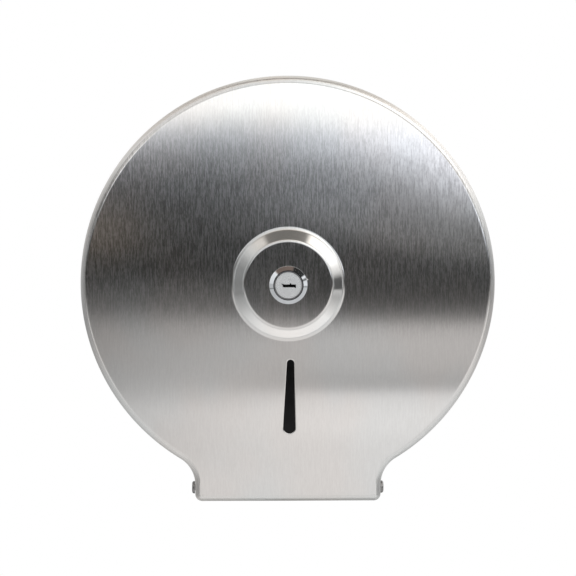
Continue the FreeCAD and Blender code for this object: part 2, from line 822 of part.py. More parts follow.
def make_lock_cam():
    """At rest the cam lies level, pointing left, and passes through the strike's slot."""
    body = new_body("lock_cam")
    arm = new_sketch(body, "cam_outline", along="cam_back")
    nose = ("cam_width / 2 - cam_reach", "0", "cam_width / 2", 1)
    draw_loop(arm, [
        ("cam_width / 2 - cam_reach", "cam_width / 2", *nose),
        ("-cam_reach", "0", *nose),
        ("cam_width / 2 - cam_reach", "-cam_width / 2"),
        ("cam_heel", "-cam_width / 2"),
        ("cam_heel", "cam_width / 2"),
    ])
    pad(body, arm, "cam_thickness")
    hole = new_sketch(body, "cam_hole", along="cam_front + overrun")
    half = "(cam_square / 2 + cam_square_clearance)"
    draw_box(hole, f"-{half}", half, f"-{half}", half)
    pocket(body, hole, "cam_thickness + overrun * 2")
    return body


def make_cam_washer():
    near = "(cam_back - cam_washer_thickness)"
    ring = rod("cam_washer_ring", "cam_washer_radius", near, "cam_washer_thickness")
    hole = rod("cam_washer_hole", "cam_screw_radius + thread_clearance", f"{near} - overrun",
               "cam_washer_thickness + overrun * 2")
    return cut("cam_washer", ring, hole)


def make_cam_screw():
    under_head = "(cam_back - cam_washer_thickness)"
    head = rod("cam_screw_head", "cam_screw_head_radius", f"{under_head} - cam_screw_head_height",
               "cam_screw_head_height")
    doc.recompute()
    crown = -value(f"{under_head} - cam_screw_head_height")
    domed = round_part("cam_screw_dome", head, "cam_screw_head_round", lambda p: close(p.y, crown))
    shank = rod("cam_screw_shank", "cam_screw_radius", under_head, "cam_screw_length")
    level = block("cam_recess_level", "-recess_length / 2", "recess_length / 2",
                  f"{under_head} - cam_screw_head_height - overrun",
                  f"{under_head} - cam_screw_head_height + recess_depth",
                  "-recess_width / 2", "recess_width / 2")
    upright = block("cam_recess_upright", "-recess_width / 2", "recess_width / 2",
                    f"{under_head} - cam_screw_head_height - overrun",
                    f"{under_head} - cam_screw_head_height + recess_depth",
                    "-recess_length / 2", "recess_length / 2")
    return cut("cam_screw", fuse("cam_screw_blank", domed, shank), fuse("cam_recess", level, upright))


pieces = [
    make_back_plate(),
    make_side_band(),
    make_tear_strip("left", "(sheet - drum_neck)"),
    make_tear_strip("right", "(drum_neck - sheet - strip_thickness)"),
    make_spindle_flange(),
    make_spindle_rivets(),
    make_spindle_tube(),
    make_lock_strike(),
    make_core_sleeve(),
    make_front_cover(),
    on_both_sides("hinge_screws", make_hinge_screw),
    on_both_sides("hinge_bushes", make_hinge_bush),
    on_both_sides("hinge_washers", make_hinge_washer),
    on_both_sides("hinge_nuts", make_hinge_nut),
    make_lock_bezel(),
    make_lock_body(),
    make_lock_washer(),
    make_lock_nut(),
    make_lock_plug(),
    make_lock_cam(),
    make_cam_washer(),
    make_cam_screw(),
]
doc.recompute()

for thing in doc.Objects:
    if "Invalid" in thing.State or "Error" in thing.State:
        raise RuntimeError(f"{thing.Label} failed: {thing.State}")
for piece in pieces:
    if piece.Shape.isNull() or not piece.Shape.isValid() or not piece.Shape.Solids:
        raise RuntimeError(f"{piece.Label} has no valid solid")

os.makedirs("parts", exist_ok=True)
for piece in pieces:
    piece.Shape.exportStep(f"parts/{piece.Label}.step")
    box = piece.Shape.BoundBox
    print(f"{piece.Label:18s} {len(piece.Shape.Solids)} solid(s) {piece.Shape.Volume:10.1f} mm3 "
          f"x {box.XMin:.2f}..{box.XMax:.2f} y {box.YMin:.2f}..{box.YMax:.2f} z {box.ZMin:.2f}..{box.ZMax:.2f}")
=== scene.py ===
import math

import bmesh
import bpy
import numpy as np
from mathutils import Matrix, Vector
from mathutils.geometry import delaunay_2d_cdt


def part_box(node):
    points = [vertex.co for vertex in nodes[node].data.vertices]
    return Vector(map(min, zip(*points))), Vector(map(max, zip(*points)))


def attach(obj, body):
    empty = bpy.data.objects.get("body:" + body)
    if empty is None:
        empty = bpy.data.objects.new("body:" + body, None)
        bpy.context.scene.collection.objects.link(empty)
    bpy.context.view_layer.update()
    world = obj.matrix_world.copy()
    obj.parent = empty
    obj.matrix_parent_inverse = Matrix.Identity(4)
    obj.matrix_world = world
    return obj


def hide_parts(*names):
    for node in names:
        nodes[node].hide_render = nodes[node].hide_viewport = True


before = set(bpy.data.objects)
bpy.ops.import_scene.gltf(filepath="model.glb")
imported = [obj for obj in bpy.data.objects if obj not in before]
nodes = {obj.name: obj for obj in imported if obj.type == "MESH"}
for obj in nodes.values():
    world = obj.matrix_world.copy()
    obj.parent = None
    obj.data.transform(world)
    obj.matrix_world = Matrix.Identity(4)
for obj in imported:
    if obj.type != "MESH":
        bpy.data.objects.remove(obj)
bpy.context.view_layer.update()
mm = 0.001
print("frame loaded:", len(nodes), "nodes")

# Shader sums


class Wire:  # one shader socket, so that a sum on values is written as a Python sum
    def __init__(self, tree, socket=None):
        self.tree = tree
        self.socket = socket

    # adds any node: its settings first, then the values or links of its sockets
    def node(self, kind, settings=None, sockets=None, out=0):
        made = self.tree.nodes.new(kind)
        for name, value in (settings or {}).items():
            if name == "stops":
                fillRamp(made.color_ramp, value)
            else:
                setattr(made, name, value)
        for name, value in (sockets or {}).items():
            socket = made.inputs[name]
            if isinstance(value, Wire):
                self.tree.links.new(value.socket, socket)
            elif socket.type == "RGBA":
                socket.default_value = (*value, 1.0)
            else:
                socket.default_value = value
        return Wire(self.tree, made.outputs[out] if len(made.outputs) else None)

    def math(self, operation, first, second=0.0):
        return self.node("ShaderNodeMath", {"operation": operation}, {0: first, 1: second})

    def __add__(self, other):
        return self.math("ADD", self, other)

    def __sub__(self, other):
        return self.math("SUBTRACT", self, other)

    def __rsub__(self, other):
        return self.math("SUBTRACT", other, self)

    def __mul__(self, other):
        return self.math("MULTIPLY", self, other)

    __radd__ = __add__
    __rmul__ = __mul__

    # 0 below low, 1 above high, smooth between
    def ease(self, low, high):
        return self.node("ShaderNodeMapRange", {"interpolation_type": "SMOOTHSTEP"},
                         {"Value": self, "From Min": low, "From Max": high})

    # straight line from low to high as this value goes from 0 to 1
    def between(self, low, high):
        return self * (high - low) + low


def fillRamp(ramp, stops):
    while len(ramp.elements) < len(stops):
        ramp.elements.new(1.0)
    for element, (place, colour) in zip(ramp.elements, stops):
        element.position = place
        element.color = (*colour, 1.0)


def grey(value):
    return (value, value, value)


# first where factor is 0, second where it is 1
def mixColours(shade, factor, first, second):
    return shade.node("ShaderNodeMix", {"data_type": "RGBA"}, {0: factor, 6: first, 7: second}, out=2)


def objectPlace(shade):
    return shade.node("ShaderNodeTexCoord", out="Object")


# first times second, as far as factor goes from 0 towards 1
def tintColours(shade, first, second, factor=1.0):
    return shade.node("ShaderNodeMix", {"data_type": "RGBA", "blend_type": "MULTIPLY"},
                      {0: factor, 6: first, 7: second}, out=2)


# noise stretched by its own number of waves per metre along each axis
def streaks(shade, place, waves, detail=2.0, roughness=0.5, shift=(0.0, 0.0, 0.0)):
    scaled = shade.node("ShaderNodeMapping", {}, {"Vector": place, "Scale": waves, "Location": shift})
    return shade.node("ShaderNodeTexNoise", {}, {"Vector": scaled, "Scale": 1.0, "Detail": detail,
                                                  "Roughness": roughness})


def splitPlace(shade, place):
    parts = shade.node("ShaderNodeSeparateXYZ", {}, {"Vector": place}).socket.node
    return [Wire(shade.tree, parts.outputs[i]) for i in range(3)]


# distance from a line along one axis, which runs through a centre
def distanceFrom(shade, place, centre, axis):
    flat = [0.0 if i == axis else 1.0 for i in range(3)]
    moved = shade.node("ShaderNodeVectorMath", {"operation": "SUBTRACT"}, {0: place, 1: centre})
    level = shade.node("ShaderNodeVectorMath", {"operation": "MULTIPLY"}, {0: moved, 1: flat})
    return shade.node("ShaderNodeVectorMath", {"operation": "LENGTH"}, {0: level}, out="Value")


def bumped(shade, height, strength, distance):
    sockets = {"Height": height, "Strength": strength, "Distance": distance}
    return shade.node("ShaderNodeBump", {}, sockets)


def newMaterial(name):
    made = bpy.data.materials.new(name)
    made.use_nodes = True
    made.node_tree.nodes.clear()
    return made, Wire(made.node_tree)


def closeMaterial(shade, surface):
    shade.node("ShaderNodeOutputMaterial", {}, {"Surface": surface})


# the main shader, with its sockets named by words joined with underscores
def principled(shade, **sockets):
    named = {name.replace("_", " "): value for name, value in sockets.items()}
    return shade.node("ShaderNodeBsdfPrincipled", {}, named)


# first where share is 0, second where it is 1
def mixShaders(shade, share, first, second):
    return shade.node("ShaderNodeMixShader", {}, {0: share, 1: first, 2: second})


# Finishes

coverFinish = {
    "pale": (0.885, 0.875, 0.865),
    "dull": (0.50, 0.49, 0.483),
    "warm": (1.0, 0.985, 0.965),
    "cool": (0.985, 1.0, 0.995),
    "hairs": (1900.0, 1900.0, 420.0),  # waves per metre along X, Y and Z
    "scratches": (1000.0, 1000.0, 75.0),
    "cloud": (16.0, 16.0, 11.0),
    "grainHeight": 0.0012 * mm,
    "grainBelow": 0.12,  # how strong the grain is below the boss, beside and above it, and near the top; partly painted reflection, strongest where the sheet reflects the dark band
    "grainBeside": 1.0,
    "grainTop": 0.2,
    "risesAt": (-45.0 * mm, 20.0 * mm),  # heights between which the first turns into the second
    "fadesAt": (70.0 * mm, 120.0 * mm),
    "grainOnSlope": 0.15,  # what is left of the grain on the boss's slope and on the rolled edge
    "grainOnEdge": 0.1,
    "slopeInside": (27.5 * mm, 28.7 * mm),
    "slopeOutside": (37.5 * mm, 39.0 * mm),
    "edgeDepth": (-114.9 * mm, -114.2 * mm),
    "roughness": (0.07, 0.09),
    "anisotropy": 0.9,
    "hazeRoughness": 0.277,
    "haze": (0.257, 0.42),  # share of the rougher shine without grain and in the palest grain
    "edgeBlur": (0.3, 0.55),  # roughness added on the rolled edge, all round and at the cover's foot
    "footHeight": (-132.0 * mm, -124.0 * mm),
    "paintedShade": 0.1,  # painted shade: how much darker the sheet is coloured beside the boss and above it, with the band's two ends, standing in for the dark band it reflects
    "paintedShadeBelow": (-20.0 * mm, 20.0 * mm),
    "paintedShadeAbove": (60.0 * mm, 100.0 * mm),
}
axisPlace = (0.0, 0.0, 0.0)  # the spindle and the lock turn about a line along Y through here


# vertical brush grain: noise drawn out along Z, in fine hairs and in scratches about a millimetre apart,
# shades the colour, tilts the light and mixes in a second, rougher shine of the same colour
def makeBrushedSteel():
    look = coverFinish
    material, shade = newMaterial("brushedSteel")
    place = objectPlace(shade)
    _, deep, up = splitPlace(shade, place)
    hairs = streaks(shade, place, look["hairs"], roughness=0.6)
    scratches = streaks(shade, place, look["scratches"], roughness=0.6, shift=(3.1, 0.0, 1.7))
    cloud = streaks(shade, place, look["cloud"], shift=(8.3, 0.0, 4.1))

    # the grain is smoothed away on the boss's slope and on the rolled edge, and varies with height; its
    # strength by height is painted reflection, strongest beside and above the boss, where the sheet
    # reflects the dark band and shows its grain there
    onEdge = deep.ease(*look["edgeDepth"])
    fromLock = distanceFrom(shade, place, axisPlace, 1)
    onSlope = fromLock.ease(*look["slopeInside"]) * (1.0 - fromLock.ease(*look["slopeOutside"]))
    spared = onSlope.between(1.0, look["grainOnSlope"]) * onEdge.between(1.0, look["grainOnEdge"])
    contrast = up.ease(*look["risesAt"]).between(look["grainBelow"], look["grainBeside"])
    contrast = contrast * up.ease(*look["fadesAt"]).between(1.0, look["grainTop"]) * spared
    tone = ((hairs * 0.45 + scratches * 0.55).ease(0.36, 0.64) - 0.5) * contrast + 0.5

    tint = mixColours(shade, cloud.ease(0.4, 0.6), look["warm"], look["cool"])
    unshadedColour = tintColours(shade, mixColours(shade, tone, look["dull"], look["pale"]), tint)
    # painted shade: a band of the sheet beside and above the boss is coloured darker, standing in for the
    # dark band it reflects
    paintedShade = up.ease(*look["paintedShadeBelow"]) * (1.0 - up.ease(*look["paintedShadeAbove"])) * look["paintedShade"]
    colour = mixColours(shade, paintedShade, unshadedColour, grey(0.0))
    low, high = look["roughness"]
    blurred = onEdge * (1.0 - up.ease(*look["footHeight"])).between(*look["edgeBlur"])
    tilt = bumped(shade, (hairs + scratches) * spared, 0.5, look["grainHeight"])
    sheen = principled(
        shade,
        Base_Color=colour,
        Metallic=1.0,
        Roughness=tone.between(high, low) + blurred,
        Anisotropic=look["anisotropy"],
        Normal=tilt,
    )
    haze = principled(
        shade,
        Base_Color=colour,
        Metallic=1.0,
        Roughness=look["hazeRoughness"],
        Anisotropic=1.0,
        Normal=tilt,
    )
    share = (tone * contrast).between(*look["haze"])
    closeMaterial(shade, mixShaders(shade, share, sheen, haze))
    return material


drumFinish = {
    "pale": (0.69, 0.68, 0.665),
    "dull": (0.55, 0.54, 0.53),
    "linesPerMetre": 1800.0,
    "wavesPerRadian": 7.0,
    "cloud": (14.0, 14.0, 14.0),
    "roughness": (0.24, 0.34),
    "anisotropy": 0.45,
    "grainHeight": 0.0025 * mm,
}


# the drum's grain runs round it, so the noise varies along Y and hardly with the angle
def makeDrumSteel():
    look = drumFinish
    material, shade = newMaterial("drumSteel")
    place = objectPlace(shade)
    across, deep, up = splitPlace(shade, place)
    angle = shade.math("ARCTAN2", across, up)
    wound = shade.node("ShaderNodeCombineXYZ", {}, {
        "X": angle * look["wavesPerRadian"], "Y": deep * look["linesPerMetre"], "Z": 0.0})
    fine = shade.node("ShaderNodeTexNoise", {}, {"Vector": wound, "Scale": 1.0, "Detail": 3.0})
    cloud = streaks(shade, place, look["cloud"], detail=3.0)
    tone = (fine * 0.7 + cloud * 0.3).ease(0.34, 0.66)
    low, high = look["roughness"]
    surface = principled(
        shade,
        Base_Color=mixColours(shade, tone, look["dull"], look["pale"]),
        Metallic=1.0,
        Roughness=tone.between(high, low),
        Anisotropic=look["anisotropy"],
        Normal=bumped(shade, fine, 1.0, look["grainHeight"]),
    )
    closeMaterial(shade, surface)
    return material


millFinish = {
    "pale": (0.56, 0.555, 0.55),
    "dull": (0.41, 0.41, 0.415),
    "stained": (0.33, 0.31, 0.29),
    "lines": (18.0, 900.0, 420.0),
    "cloud": (22.0, 22.0, 22.0),
    "stains": (65.0, 65.0, 65.0),
    "roughness": (0.34, 0.46),
    "lineHeight": 0.006 * mm,
}


# plain rolled sheet: a dull surface with soft clouds, rolling lines and a few darker stains
def makeMillSteel():
    look = millFinish
    material, shade = newMaterial("millSteel")
    place = objectPlace(shade)
    lines = streaks(shade, place, look["lines"], detail=3.0)
    cloud = streaks(shade, place, look["cloud"], detail=5.0, roughness=0.6)
    stain = streaks(shade, place, look["stains"], detail=4.0, shift=(1.0, 5.0, 2.0)).ease(0.58, 0.72)
    tone = (lines * 0.45 + cloud * 0.55).ease(0.35, 0.65)
    colour = mixColours(shade, tone, look["dull"], look["pale"])
    low, high = look["roughness"]
    surface = principled(
        shade,
        Base_Color=mixColours(shade, stain * 0.35, colour, look["stained"]),
        Metallic=1.0,
        Roughness=tone.between(high, low) + stain * 0.1,
        Normal=bumped(shade, lines * 0.5 + cloud * 0.5, 1.0, look["lineHeight"]),
    )
    closeMaterial(shade, surface)
    return material


# turned metal: fine rings round the piece's own axis, with a little cloudiness, and nearly black past a
# depth as painted shade
def makeTurnedMetal(name, centre, axis, pale, dull, roughness, ringsPerMetre=5200.0, paintedShadeBehind=None):
    material, shade = newMaterial(name)
    place = objectPlace(shade)
    away = distanceFrom(shade, place, centre, axis)
    rings = shade.node("ShaderNodeTexNoise", {"noise_dimensions": "1D"},
                       {"W": away * ringsPerMetre, "Scale": 1.0, "Detail": 2.0})
    cloud = streaks(shade, place, grey(260.0), detail=4.0, roughness=0.6)
    tone = (rings * 0.6 + cloud * 0.4).ease(0.33, 0.67)
    colour = mixColours(shade, tone, dull, pale)
    if paintedShadeBehind is not None:
        _, deep, _ = splitPlace(shade, place)
        # painted shade: past this depth the colour turns nearly black, standing in for the shade at the
        # bottom of the key slot
        slotShade = deep.ease(paintedShadeBehind - 0.1 * mm, paintedShadeBehind)
        colour = mixColours(shade, slotShade, colour, grey(0.008))
    low, high = roughness
    surface = principled(
        shade,
        Base_Color=colour,
        Metallic=1.0,
        Roughness=tone.between(high, low),
        Normal=bumped(shade, rings, 0.8, 0.004 * mm),
    )
    closeMaterial(shade, surface)
    return material


# moulded plastic: fine spark texture, faint clouds and paler scuffs
def makeMoulded(name, colour, scuffed, roughness, pimple=0.02 * mm):
    material, shade = newMaterial(name)
    place = objectPlace(shade)
    texture = streaks(shade, place, grey(1500.0), detail=3.0, roughness=0.65)
    scuffs = streaks(shade, place, (30.0, 340.0, 60.0), detail=4.0).ease(0.60, 0.74)
    cloud = streaks(shade, place, grey(40.0), detail=3.0)
    low, high = roughness
    surface = principled(
        shade,
        Base_Color=mixColours(shade, scuffs * 0.5, colour, scuffed),
        Roughness=cloud.ease(0.35, 0.65).between(low, high),
        Specular_IOR_Level=0.45,
        Normal=bumped(shade, texture, 0.5, pimple),
    )
    closeMaterial(shade, surface)
    return material


# polished plating: nearly a mirror, with faint smears and hairlines, and satin past a distance from the
# lock's axis
def makePolished(name, colour, smeared, roughness, satinBeyond=1.0):
    material, shade = newMaterial(name)
    place = objectPlace(shade)
    smear = streaks(shade, place, (160.0, 160.0, 90.0), detail=4.0, roughness=0.6).ease(0.42, 0.68)
    hair = streaks(shade, place, (500.0, 4200.0, 900.0), shift=(2.0, 7.0, 1.0)).ease(0.62, 0.70)
    satin = distanceFrom(shade, place, axisPlace, 1).ease(satinBeyond - 0.1 * mm, satinBeyond)
    low, high = roughness
    surface = principled(
        shade,
        Base_Color=mixColours(shade, smear * 0.6, colour, smeared),
        Metallic=1.0,
        Roughness=smear.between(low, high) + hair * 0.05 + satin * 0.5,
        Normal=bumped(shade, smear, 0.3, 0.003 * mm),
    )
    closeMaterial(shade, surface)
    return material


screwLow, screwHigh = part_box("hinge_screws")
plugLow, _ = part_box("lock_plug")
turnedFinishes = {
    "hingeSteel": {
        "centre": (0.0, (screwLow[1] + screwHigh[1]) / 2, (screwLow[2] + screwHigh[2]) / 2),
        "axis": 0,
        "pale": (0.30, 0.295, 0.29),
        "dull": (0.17, 0.165, 0.16),
        "roughness": (0.16, 0.28),
    },
    "zincSteel": {
        "centre": axisPlace,
        "axis": 1,
        "pale": (0.6, 0.6, 0.58),
        "dull": (0.45, 0.45, 0.44),
        "roughness": (0.28, 0.42),
    },
    "plugSatin": {
        "centre": axisPlace,
        "axis": 1,
        "pale": (0.80, 0.81, 0.81),
        "dull": (0.58, 0.59, 0.59),
        "roughness": (0.26, 0.4),
        "ringsPerMetre": 9000.0,
        "paintedShadeBehind": plugLow[1] + 0.4 * mm,  # the floor of the key slot, coloured nearly black as painted shade
    },
}
polishedFinishes = {
    "rivetMetal": {
        "colour": (0.7, 0.7, 0.71),
        "smeared": (0.56, 0.56, 0.56),
        "roughness": (0.28, 0.42),
    },
    "lockChrome": {
        "colour": (0.74, 0.735, 0.735),
        "smeared": (0.66, 0.65, 0.65),
        "roughness": (0.03, 0.07),
        "satinBeyond": 12.65 * mm,  # the bezel's nib
    },
    "lockZinc": {
        "colour": (0.26, 0.26, 0.265),
        "smeared": (0.18, 0.18, 0.18),
        "roughness": (0.3, 0.42),
    },
}
mouldedFinishes = {
    # painted shade: the back plate is coloured near black, standing in for the shade inside the drum seen
    # through the slot
    "paintedShadePlate": {
        "colour": (0.012, 0.011, 0.012),
        "scuffed": (0.04, 0.04, 0.04),
        "roughness": (0.42, 0.58),
        "pimple": 0.04 * mm,
    },
    "darkPlastic": {
        "colour": (0.018, 0.017, 0.019),
        "scuffed": (0.06, 0.058, 0.06),
        "roughness": (0.38, 0.55),
    },
    "whiteNylon": {
        "colour": (0.72, 0.71, 0.66),
        "scuffed": (0.6, 0.58, 0.52),
        "roughness": (0.4, 0.55),
    },
}
finishes = {
    "brushedSteel": makeBrushedSteel(),
    "drumSteel": makeDrumSteel(),
    "millSteel": makeMillSteel(),
}
for name, look in turnedFinishes.items():
    finishes[name] = makeTurnedMetal(name, **look)
for name, look in polishedFinishes.items():
    finishes[name] = makePolished(name, **look)
for name, look in mouldedFinishes.items():
    finishes[name] = makeMoulded(name, **look)
nodeFinishes = {
    "side_band": "drumSteel",
    "back_plate": "paintedShadePlate",
    "tear_strip_left": "millSteel",
    "tear_strip_right": "millSteel",
    "spindle_flange": "millSteel",
    "spindle_tube": "drumSteel",
    "spindle_rivets": "rivetMetal",
    "lock_strike": "zincSteel",
    "core_sleeve": "darkPlastic",
    "front_cover": "brushedSteel",
    "hinge_screws": "hingeSteel",
    "hinge_washers": "hingeSteel",
    "hinge_nuts": "hingeSteel",
    "hinge_bushes": "whiteNylon",
    "lock_bezel": "lockChrome",
    "lock_body": "lockZinc",
    "lock_washer": "zincSteel",
    "lock_nut": "zincSteel",
    "lock_plug": "plugSatin",
    "lock_cam": "zincSteel",
    "cam_washer": "zincSteel",
    "cam_screw": "zincSteel",
}
for nodeName, finishName in nodeFinishes.items():
    slots = nodes[nodeName].data.materials
    slots.clear()
    slots.append(finishes[finishName])
print("finishes made:", len(finishes))

# Front cover

cover = {
    "radius": 137.5 * mm,
    "neckHalf": 62.0 * mm,
    "hollow": 21.0 * mm,
    "corner": 4.6 * mm,
    "baseDrop": 146.0 * mm,
    "face": 115.0 * mm,
    "sheet": 1.0 * mm,
    "flange": 12.0 * mm,
    "edgeRound": 4.5 * mm,
    "bossBase": 36.7 * mm,
    "bossTop": 29.5 * mm,
    "bossHeight": 6.5 * mm,
    "bossBaseRound": 3.8 * mm,
    "bossTopRound": 2.9 * mm,
    "lockHole": 10.1 * mm,
    "slotTop": (1.6 * mm, -52.8 * mm, 2.35 * mm),
    "slotBottom": (0.8 * mm, -95.9 * mm, 4.05 * mm),
    "slotEdge": 0.3 * mm,
    "lip": 0.2 * mm,  # broken edge of the flange's rim
    "hingeDrop": 138.0 * mm,
    "earRadius": 4.6 * mm,
    "ring": 0.35 * mm,  # narrow ring of flat faces that keeps a bend's shading off the flat sheet
    "arcSteps": 14,
    "footSteps": 24,
    "neckSteps": 12,
    "hollowSteps": 40,
    "rimSteps": 720,
    "bossSteps": 360,
    "slotSteps": (18, 24),
}


# points of an arc and the directions from its centre, as the angle runs in even steps
def arc(centre, radius, start, end, steps):
    angles = np.linspace(start, end, steps)
    outward = np.stack([np.cos(angles), np.sin(angles)], 1)
    return np.asarray(centre) + radius * outward, outward


# the cover's outline, anticlockwise from the middle of its foot: a straight foot, a rounded corner,
# a short neck, a hollow that runs tangent into the big circle, and the same again mirrored in X
def coverOutline():
    half, drop, corner, hollow = cover["neckHalf"], cover["baseDrop"], cover["corner"], cover["hollow"]
    centreAcross = half + hollow
    centreDrop = math.sqrt((cover["radius"] + hollow) ** 2 - centreAcross ** 2)
    touch = math.atan2(-centreDrop, centreAcross)
    steps = cover["footSteps"]
    foot = np.stack([np.linspace(0.0, half - corner, steps), np.full(steps, -drop)], 1)
    footOut = np.tile([0.0, -1.0], (steps, 1))
    bend, bendOut = arc((half - corner, corner - drop), corner, -math.pi / 2, 0.0, cover["arcSteps"])
    steps = cover["neckSteps"]
    neck = np.stack([np.full(steps, half), np.linspace(corner - drop, -centreDrop, steps)], 1)
    neckOut = np.tile([1.0, 0.0], (steps, 1))
    dip, dipIn = arc((centreAcross, -centreDrop), hollow, math.pi, math.pi + touch,
                     cover["hollowSteps"])
    rim, rimOut = arc((0.0, 0.0), cover["radius"], touch, math.pi / 2, cover["rimSteps"] // 2)
    points = np.concatenate([foot[:-1], bend[:-1], neck[:-1], dip[:-1], rim])
    outward = np.concatenate([footOut[:-1], bendOut[:-1], neckOut[:-1], -dipIn[:-1], rimOut])
    mirror = np.array([-1.0, 1.0])
    return (np.concatenate([points, points[-2:0:-1] * mirror]),
            np.concatenate([outward, outward[-2:0:-1] * mirror]))


# the sight slot's edge, anticlockwise: the two end circles and the straight lines that touch both
def slotOutline(grow):
    top, bottom = cover["slotTop"], cover["slotBottom"]
    span = math.hypot(top[0] - bottom[0], top[1] - bottom[1])
    lean = math.atan2(top[0] - bottom[0], top[1] - bottom[1])
    taper = math.asin((bottom[2] - top[2]) / span)
    start, turn = taper - lean, math.pi - taper - lean
    upperSteps, lowerSteps = cover["slotSteps"]
    upper, _ = arc(top[:2], top[2] + grow, start, turn, upperSteps)
    lower, _ = arc(bottom[:2], bottom[2] + grow, turn, 2 * math.pi + start, lowerSteps)
    return np.concatenate([upper, lower])


# how far out from the wall the rim of the flange lies: level all round, back over the hinge ears,
# and close to the face along the foot, where the paper leaves
def rimDepth(points):
    level = cover["face"] - cover["flange"]
    fromHinge = points[:, 1] + cover["hingeDrop"]
    ear = np.sqrt(np.maximum(cover["earRadius"] ** 2 - fromHinge ** 2, 0.0))
    lip = cover["face"] - cover["edgeRound"] - cover["sheet"]
    atFoot = points[:, 1] < -cover["hingeDrop"] - cover["earRadius"] * 0.98
    onNeck = points[:, 1] < cover["earRadius"] - cover["hingeDrop"]
    return np.where(atFoot, lip, level - np.where(onNeck, ear, 0.0))


# places (across, depth out, up) as points in the frame, where out is -Y
def raise3d(flat, depth):
    depth = np.broadcast_to(depth, flat.shape[:1])
    return np.stack([flat[:, 0], -depth, flat[:, 1]], 1)


# whether each place lies inside a closed loop: a ray towards +X crosses the loop an odd number of times
def insideLoop(places, loop):
    x, y = places[:, :1], places[:, 1:]
    (ax, ay), (bx, by) = loop.T, np.roll(loop, -1, 0).T
    with np.errstate(divide="ignore", invalid="ignore"):
        crossing = ((ay > y) != (by > y)) & (x < ax + (y - ay) * (bx - ax) / (by - ay))
    return crossing.sum(1) % 2 == 1


class Sheet:  # gathers patches of points and faces into one mesh
    def __init__(self):
        self.points = []
        self.faces = []
        self.count = 0

    # rows of closed rings, joined by quads from each row to the next
    def rings(self, rows, flip=False):
        rows = np.asarray(rows)
        height, width = rows.shape[:2]
        index = np.arange(height * width).reshape(height, width) + self.count
        after = np.roll(index, -1, 1)
        quads = np.stack([index[:-1], after[:-1], after[1:], index[1:]], -1).reshape(-1, 4)
        self.faces += (quads[:, ::-1] if flip else quads).tolist()
        self.points.append(rows.reshape(-1, 3))
        self.count += height * width

    # a flat face inside the first loop and outside the others, cut into triangles
    def flat(self, loops, depth, flip=False):
        starts = np.cumsum([0] + [len(loop) for loop in loops])
        edges = []
        for start, loop in zip(starts, loops):
            run = np.arange(len(loop))
            edges += np.stack([run + start, (run + 1) % len(loop) + start], 1).tolist()
        flatPoints = [Vector(p) for p in np.concatenate(loops).tolist()]
        points, _, triangles, _, _, _ = delaunay_2d_cdt(flatPoints, edges, [], 0, 1e-9)
        points = np.array([tuple(p) for p in points])
        triangles = np.array(triangles)
        middles = points[triangles].mean(1)
        kept = insideLoop(middles, loops[0])
        for hole in loops[1:]:
            kept &= ~insideLoop(middles, hole)
        triangles = triangles[kept]
        a, b, c = (points[triangles[:, i]] for i in range(3))
        turn = (b[:, 0] - a[:, 0]) * (c[:, 1] - a[:, 1]) - (b[:, 1] - a[:, 1]) * (c[:, 0] - a[:, 0])
        triangles = np.where(turn[:, None] > 0, triangles, triangles[:, ::-1])
        self.faces += ((triangles[:, ::-1] if flip else triangles) + self.count).tolist()
        self.points.append(raise3d(points, depth))
        self.count += len(points)

    def build(self, name):
        mesh = bpy.data.meshes.new(name)
        mesh.from_pydata(np.concatenate(self.points).tolist(), [], self.faces)
        work = bmesh.new()
        work.from_mesh(mesh)
        bmesh.ops.remove_doubles(work, verts=work.verts, dist=0.002 * mm)
        for face in work.faces:
            face.smooth = True
        print(name, "open edges:", sum(not e.is_manifold for e in work.edges), "volume cm3:",
              round(work.calc_volume(signed=True) * 1e6, 2))
        work.to_mesh(mesh)
        work.free()
        mesh.set_sharp_from_angle(angle=math.radians(40))
        made = bpy.data.objects.new(name, mesh)
        bpy.context.scene.collection.objects.link(made)
        return made


# the boss in section as (radius, depth) and its outward directions: flat sheet, hollow bend, straight
# cone, round shoulder and flat top, each bend an arc that runs tangent into both neighbours
def bossSection():
    slope = math.atan2(cover["bossHeight"], cover["bossBase"] - cover["bossTop"])
    baseRun = cover["bossBaseRound"] * math.tan(slope / 2)
    topRun = cover["bossTopRound"] * math.tan(slope / 2)
    top = cover["face"] + cover["bossHeight"]
    base, baseIn = arc((cover["bossBase"] + baseRun, cover["face"] + cover["bossBaseRound"]),
                       cover["bossBaseRound"], -math.pi / 2, -math.pi / 2 - slope, cover["arcSteps"])
    shoulder, shoulderOut = arc((cover["bossTop"] - topRun, top - cover["bossTopRound"]),
                                cover["bossTopRound"], math.pi / 2 - slope, math.pi / 2, cover["arcSteps"])
    start = np.array([[base[0, 0] + cover["ring"], cover["face"]]])
    end = [[shoulder[-1, 0] - cover["ring"], top], [cover["lockHole"] + cover["ring"], top],
           [cover["lockHole"], top]]
    ahead = np.array([[0.0, 1.0]])
    return (np.concatenate([start, base, shoulder, end]),
            np.concatenate([ahead, -baseIn, shoulderOut, np.repeat(ahead, len(end), 0)]))


# a section (radius, depth) turned about the spindle's axis
def turned(section):
    angles = np.linspace(0.0, 2 * math.pi, cover["bossSteps"], endpoint=False)
    circle = np.stack([np.cos(angles), np.sin(angles)], 1)
    return [raise3d(radius * circle, depth) for radius, depth in section]


